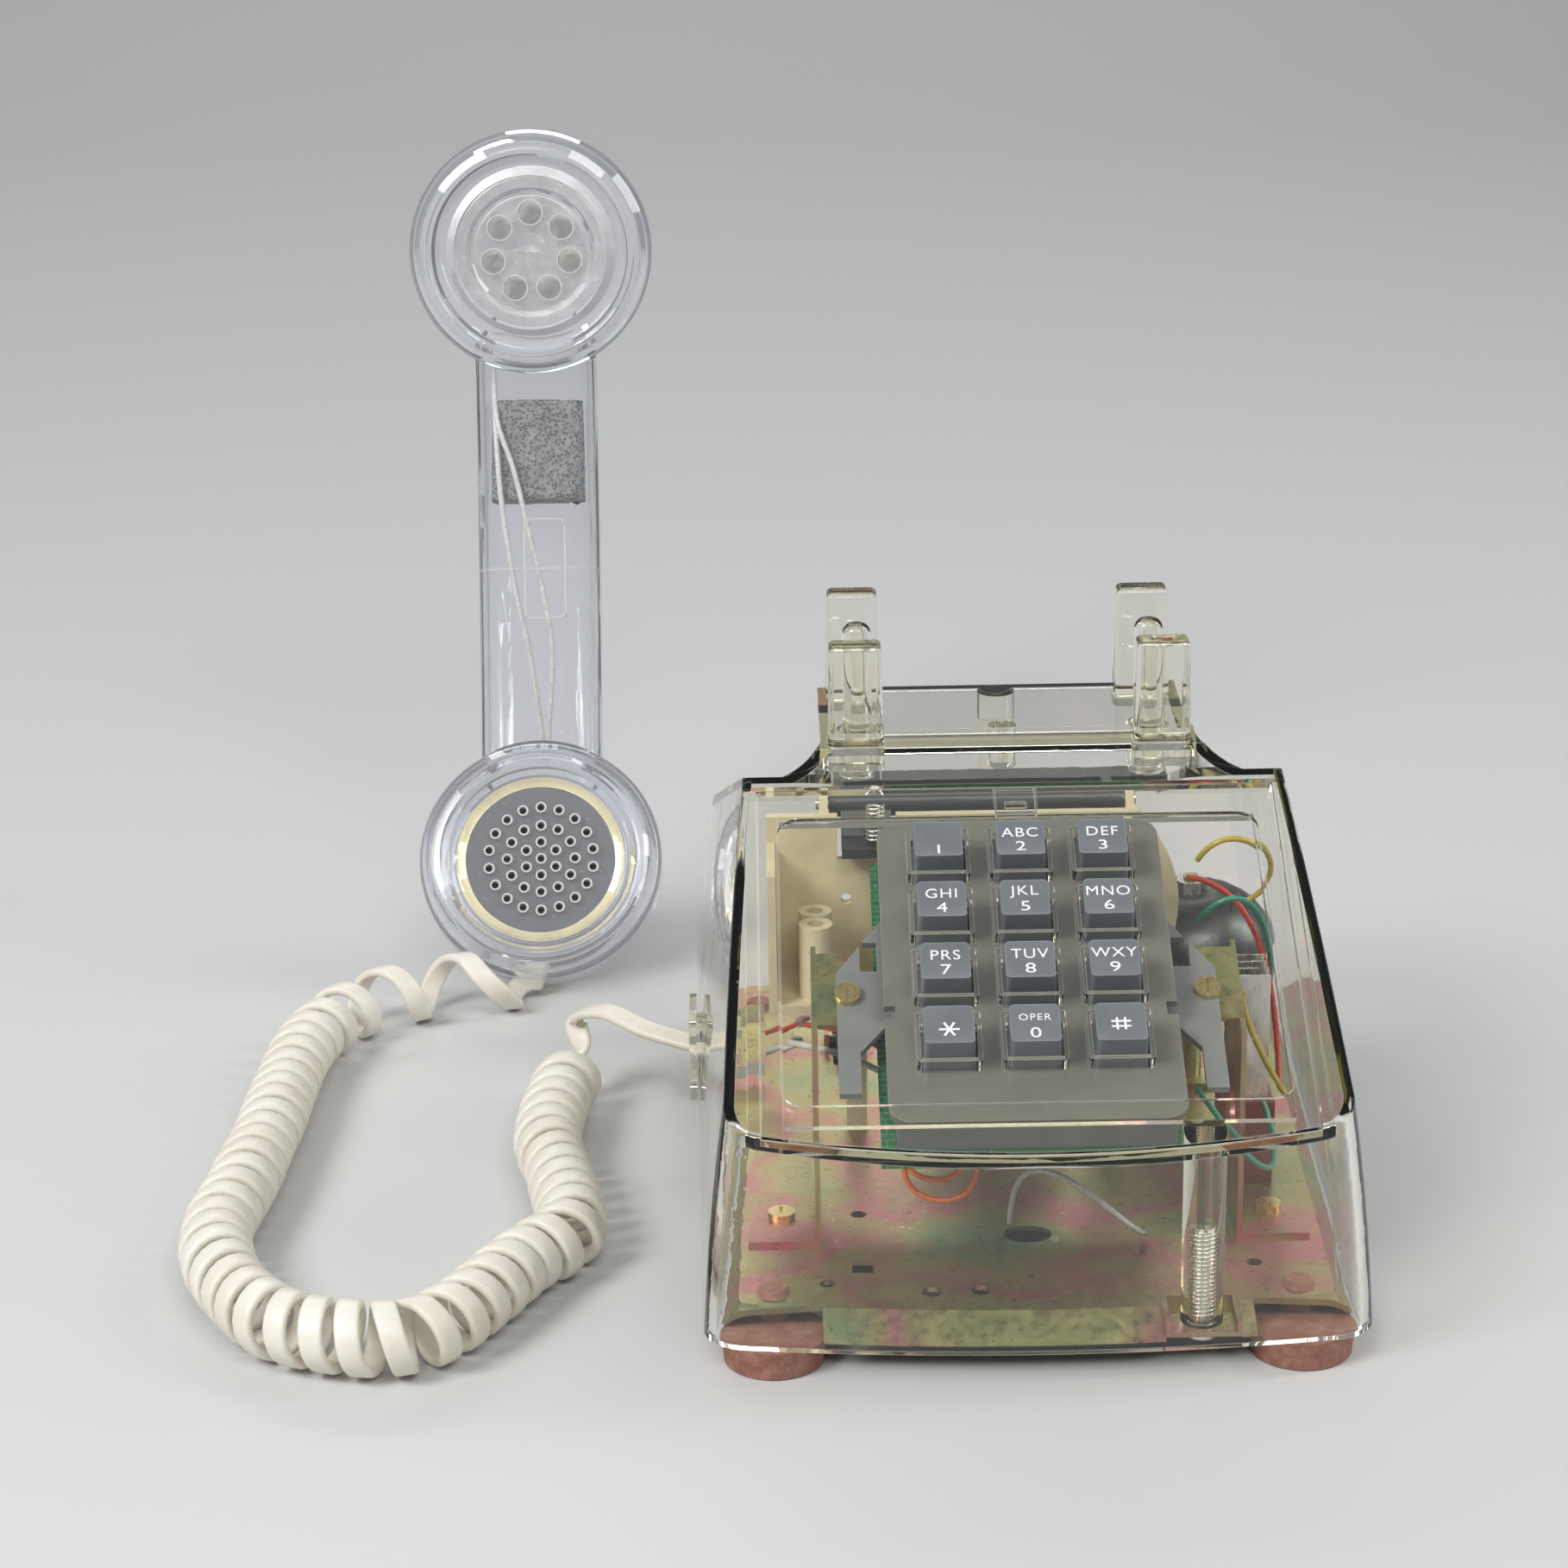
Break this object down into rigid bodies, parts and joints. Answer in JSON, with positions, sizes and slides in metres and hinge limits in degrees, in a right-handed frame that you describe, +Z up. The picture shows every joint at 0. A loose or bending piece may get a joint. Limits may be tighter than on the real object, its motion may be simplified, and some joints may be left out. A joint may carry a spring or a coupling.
{
  "type": "see-through push-button telephone",
  "caption": "Clear plastic desk telephone with a sloping 12-button keypad, visible ringer and wiring, cradle prongs, and an off-hook handset on a coiled cord.",
  "frame": {"origin": "centre of the whole set's footprint (desk set, handset and cord), on the floor", "axes": "+Z up; +Y from the keypad side to the back of the telephone; +X to the right as seen by a person dialling"},
  "size_m": [0.2778, 0.3275, 0.2262],
  "materials": {
    "clear_plastic": "clear injection-moulded plastic, faintly warm",
    "grey_plastic": "satin grey moulding",
    "key_grey": "satin double-shot key plastic",
    "green_board": "circuit board",
    "zinc_steel": "yellow zinc-dichromate plating with pink and green bloom",
    "nickel": "nickel plated",
    "brass": "brass",
    "brown_rubber": "brown rubber",
    "cream_plastic": "cream moulding",
    "dark_plastic": "dark grey moulding",
    "red_phenolic": "red-brown phenolic",
    "dark_steel": "dark painted steel",
    "copper": "enamelled copper winding",
    "wire_red": "red-orange insulated wire",
    "wire_white": "white insulated wire",
    "wire_green": "green insulated wire",
    "wire_yellow": "yellow insulated wire",
    "grey_foam": "open-cell grey foam",
    "cord_white": "off-white flexible cord jacket"
  },
  "bodies": {
    "base": {"housing": "clear_plastic", "faceplate": "clear_plastic", "faceplate_latch": "clear_plastic", "dial_bezel": "grey_plastic", "dial_frame": "grey_plastic", "dial_board": "green_board", "dial_contacts": "nickel", "dial_bracket_left": "zinc_steel", "dial_bracket_right": "zinc_steel", "dial_screws": "brass", "base_plate": "zinc_steel", "feet": "brown_rubber", "housing_screws": "nickel", "network_housing": "cream_plastic", "lever_pin": "nickel", "hook_spring": "nickel", "contact_block": "red_phenolic", "contact_springs": "nickel", "gongs": "dark_steel", "gong_nuts": "nickel", "ringer_frame": "zinc_steel", "ringer_core": "dark_steel", "ringer_coil": "copper", "handset_jack": "clear_plastic", "line_jack": "clear_plastic", "cord_plug": "clear_plastic", "wires_red": "wire_red", "wires_white": "wire_white", "wires_green": "wire_green", "wires_yellow": "wire_yellow", "wires_orange": "wire_red", "coil_cord": "cord_white", "cord_tail": "cord_white"},
    "key_1": {"key_1": "key_grey"},
    "key_2": {"key_2": "key_grey"},
    "key_3": {"key_3": "key_grey"},
    "key_4": {"key_4": "key_grey"},
    "key_5": {"key_5": "key_grey"},
    "key_6": {"key_6": "key_grey"},
    "key_7": {"key_7": "key_grey"},
    "key_8": {"key_8": "key_grey"},
    "key_9": {"key_9": "key_grey"},
    "key_star": {"key_star": "key_grey"},
    "key_0": {"key_0": "key_grey"},
    "key_hash": {"key_hash": "key_grey"},
    "plunger_left": {"plunger_left": "clear_plastic"},
    "plunger_right": {"plunger_right": "clear_plastic"},
    "hook_lever": {"hook_lever": "dark_plastic"},
    "clapper": {"clapper": "nickel"},
    "loudness_wheel": {"loudness_wheel": "dark_plastic"},
    "handset": {"handset_shell": "clear_plastic", "receiver_cap": "clear_plastic", "transmitter_cap": "clear_plastic", "receiver_unit": "nickel", "transmitter_unit": "dark_plastic", "transmitter_ring": "brass", "transmitter_cup": "clear_plastic", "handset_foam": "grey_foam", "handset_wires": "wire_white", "cord_grommet": "cord_white"}
  },
  "joints": [
    {"name": "key_1_press", "type": "slide", "parent": "base", "child": "key_1", "axis": [0, 0.4281, -0.9037], "range_m": [0, 0.003], "stiffness_N_per_m": 150, "springref_m": -0.002},
    {"name": "key_2_press", "type": "slide", "parent": "base", "child": "key_2", "axis": [0, 0.4281, -0.9037], "range_m": [0, 0.003], "stiffness_N_per_m": 150, "springref_m": -0.002},
    {"name": "key_3_press", "type": "slide", "parent": "base", "child": "key_3", "axis": [0, 0.4281, -0.9037], "range_m": [0, 0.003], "stiffness_N_per_m": 150, "springref_m": -0.002},
    {"name": "key_4_press", "type": "slide", "parent": "base", "child": "key_4", "axis": [0, 0.4281, -0.9037], "range_m": [0, 0.003], "stiffness_N_per_m": 150, "springref_m": -0.002},
    {"name": "key_5_press", "type": "slide", "parent": "base", "child": "key_5", "axis": [0, 0.4281, -0.9037], "range_m": [0, 0.003], "stiffness_N_per_m": 150, "springref_m": -0.002},
    {"name": "key_6_press", "type": "slide", "parent": "base", "child": "key_6", "axis": [0, 0.4281, -0.9037], "range_m": [0, 0.003], "stiffness_N_per_m": 150, "springref_m": -0.002},
    {"name": "key_7_press", "type": "slide", "parent": "base", "child": "key_7", "axis": [0, 0.4281, -0.9037], "range_m": [0, 0.003], "stiffness_N_per_m": 150, "springref_m": -0.002},
    {"name": "key_8_press", "type": "slide", "parent": "base", "child": "key_8", "axis": [0, 0.4281, -0.9037], "range_m": [0, 0.003], "stiffness_N_per_m": 150, "springref_m": -0.002},
    {"name": "key_9_press", "type": "slide", "parent": "base", "child": "key_9", "axis": [0, 0.4281, -0.9037], "range_m": [0, 0.003], "stiffness_N_per_m": 150, "springref_m": -0.002},
    {"name": "key_star_press", "type": "slide", "parent": "base", "child": "key_star", "axis": [0, 0.4281, -0.9037], "range_m": [0, 0.003], "stiffness_N_per_m": 150, "springref_m": -0.002},
    {"name": "key_0_press", "type": "slide", "parent": "base", "child": "key_0", "axis": [0, 0.4281, -0.9037], "range_m": [0, 0.003], "stiffness_N_per_m": 150, "springref_m": -0.002},
    {"name": "key_hash_press", "type": "slide", "parent": "base", "child": "key_hash", "axis": [0, 0.4281, -0.9037], "range_m": [0, 0.003], "stiffness_N_per_m": 150, "springref_m": -0.002},
    {"name": "plunger_left_press", "type": "slide", "parent": "base", "child": "plunger_left", "axis": [0, 0, -1], "range_m": [0, 0.009], "stiffness_N_per_m": 60, "springref_m": -0.006, "deforming": ["hook_spring"]},
    {"name": "plunger_right_press", "type": "slide", "parent": "base", "child": "plunger_right", "axis": [0, 0, -1], "range_m": [0, 0.009]},
    {"name": "hook_lever_turn", "type": "hinge", "parent": "base", "child": "hook_lever", "pos_m": [0.0598, -0.0475, 0.093], "axis": [-1, 0, 0], "range_deg": [0, 17.3]},
    {"name": "clapper_swing", "type": "hinge", "parent": "base", "child": "clapper", "pos_m": [0.0808, -0.0215, 0.022], "axis": [0, 1, 0], "range_deg": [-3.2, 3.2]},
    {"name": "loudness_turn", "type": "hinge", "parent": "base", "child": "loudness_wheel", "pos_m": [0.0198, -0.0055, 0.0135], "axis": [1, 0, 0], "range_deg": [-60, 60]},
    {"name": "handset_hang_up", "type": "hinge", "parent": "base", "child": "handset", "pos_m": [0.01098, 0.05717, 0.08758], "axis": [0.636, 0.636, 0.4371], "range_deg": [0, 132.78]}
  ],
  "couplings": [
    {"joint": "plunger_right_press", "follows": "plunger_left_press", "ratio": 1},
    {"joint": "hook_lever_turn", "follows": "plunger_left_press", "rad_per_m": 33.33}
  ]
}
